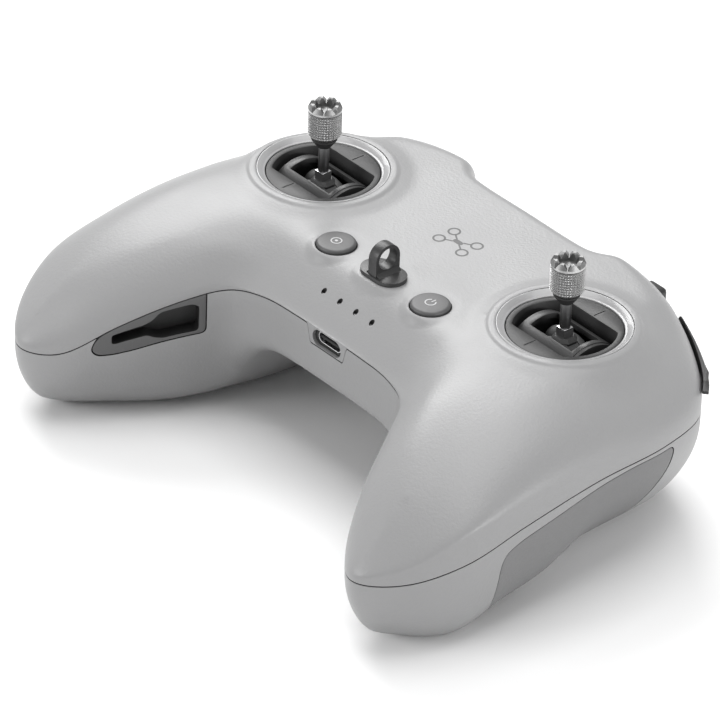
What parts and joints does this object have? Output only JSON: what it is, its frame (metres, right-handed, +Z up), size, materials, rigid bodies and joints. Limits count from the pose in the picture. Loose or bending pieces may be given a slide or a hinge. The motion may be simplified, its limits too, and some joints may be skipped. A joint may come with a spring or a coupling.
{
  "type": "radio transmitter controller",
  "caption": "Handheld radio transmitter with gimballed control sticks, moulded grips, face keys, shoulder dial, shutter key, mode slider and a charging port.",
  "frame": {"origin": "on the table under the middle of the overall box", "axes": "+Z up, +X to the user's right, +Y away from the user, from the grips towards the shoulder keys"},
  "size_m": [0.1652, 0.1212, 0.0725],
  "materials": {
    "shell_grey": "pale grey, satin moulded shell",
    "dark_plastic": "dark grey, fine satin",
    "button_grey": "mid grey satin key",
    "pad_rubber": "soft grey rubber, matte",
    "gloss_trim": "polished light grey ring",
    "stick_metal": "dark satin metal",
    "steel": "bare sheet and wire",
    "alloy": "bright knurled alloy",
    "circuit_board": "green circuit board with solder mask",
    "battery_wrap": "dark film wrap",
    "led_lens": "clear white light pipe, unlit"
  },
  "bodies": {
    "case": {"top_shell": "shell_grey", "bottom_shell": "shell_grey", "lanyard_hook": "dark_plastic", "custom_tact_switch": "dark_plastic", "power_tact_switch": "dark_plastic", "status_light_1": "led_lens", "status_light_2": "led_lens", "status_light_3": "led_lens", "status_light_4": "led_lens", "main_board": "circuit_board", "battery_cell": "battery_wrap", "usb_receptacle": "steel", "usb_tongue": "dark_plastic", "case_screw_1": "steel", "case_screw_2": "steel", "case_screw_3": "steel", "case_screw_4": "steel", "case_screw_5": "steel", "case_screw_6": "steel", "left_grip_pad": "pad_rubber", "left_stick_store": "dark_plastic", "left_shoulder_panel": "dark_plastic", "left_gimbal_frame": "dark_plastic", "left_gimbal_ring": "gloss_trim", "left_return_spring": "steel", "left_sensor_board": "circuit_board", "left_antenna": "circuit_board", "right_grip_pad": "pad_rubber", "right_stick_store": "dark_plastic", "right_shoulder_panel": "dark_plastic", "right_gimbal_frame": "dark_plastic", "right_gimbal_ring": "gloss_trim", "right_return_spring": "steel", "right_sensor_board": "circuit_board", "right_antenna": "circuit_board"},
    "left_yoke": {"left_gimbal_yoke": "dark_plastic"},
    "right_yoke": {"right_gimbal_yoke": "dark_plastic"},
    "left_control_stick": {"left_stick": "stick_metal", "left_stick_nut": "dark_plastic", "left_stick_cap": "alloy"},
    "right_control_stick": {"right_stick": "stick_metal", "right_stick_nut": "dark_plastic", "right_stick_cap": "alloy"},
    "custom_key": {"custom_button": "button_grey"},
    "power_key": {"power_button": "button_grey"},
    "shutter_key": {"shutter_button": "dark_plastic"},
    "dial": {"gimbal_dial": "dark_plastic"},
    "mode_slider": {"mode_switch": "dark_plastic"},
    "pause_key": {"pause_button": "button_grey"}
  },
  "joints": [
    {"name": "left_yoke_tilt", "type": "hinge", "parent": "case", "child": "left_yoke", "pos_m": [-0.0469, 0.0213, 0.0408], "axis": [1, 0, 0], "range_deg": [-25, 25], "stiffness_Nm_per_rad": 0.05},
    {"name": "left_stick_tilt", "type": "hinge", "parent": "left_yoke", "child": "left_control_stick", "pos_m": [-0.0469, 0.0213, 0.0408], "axis": [0, 1, 0], "range_deg": [-25, 25], "stiffness_Nm_per_rad": 0.05},
    {"name": "right_yoke_tilt", "type": "hinge", "parent": "case", "child": "right_yoke", "pos_m": [0.0469, 0.0213, 0.0408], "axis": [1, 0, 0], "range_deg": [-25, 25], "stiffness_Nm_per_rad": 0.05},
    {"name": "right_stick_tilt", "type": "hinge", "parent": "right_yoke", "child": "right_control_stick", "pos_m": [0.0469, 0.0213, 0.0408], "axis": [0, 1, 0], "range_deg": [-25, 25], "stiffness_Nm_per_rad": 0.05},
    {"name": "custom_key_press", "type": "slide", "parent": "case", "child": "custom_key", "axis": [0, 0, -1], "range_m": [0, 0.0005], "stiffness_N_per_m": 1500},
    {"name": "power_key_press", "type": "slide", "parent": "case", "child": "power_key", "axis": [0, 0, -1], "range_m": [0, 0.0005], "stiffness_N_per_m": 1500},
    {"name": "shutter_key_press", "type": "slide", "parent": "case", "child": "shutter_key", "axis": [0, -1, 0], "range_m": [0, 0.001], "stiffness_N_per_m": 1500},
    {"name": "pause_key_press", "type": "slide", "parent": "case", "child": "pause_key", "axis": [0.4623, -0.8867, 0], "range_m": [0, 0.0005], "stiffness_N_per_m": 1500},
    {"name": "dial_turn", "type": "hinge", "parent": "case", "child": "dial", "pos_m": [-0.044, 0.0554, 0.0415], "axis": [1, 0, 0], "range_deg": [-25, 25], "stiffness_Nm_per_rad": 0.01},
    {"name": "mode_slider_move", "type": "slide", "parent": "case", "child": "mode_slider", "axis": [-0.8867, 0.4623, 0], "range_m": [-0.0037, 0.0037]}
  ]
}
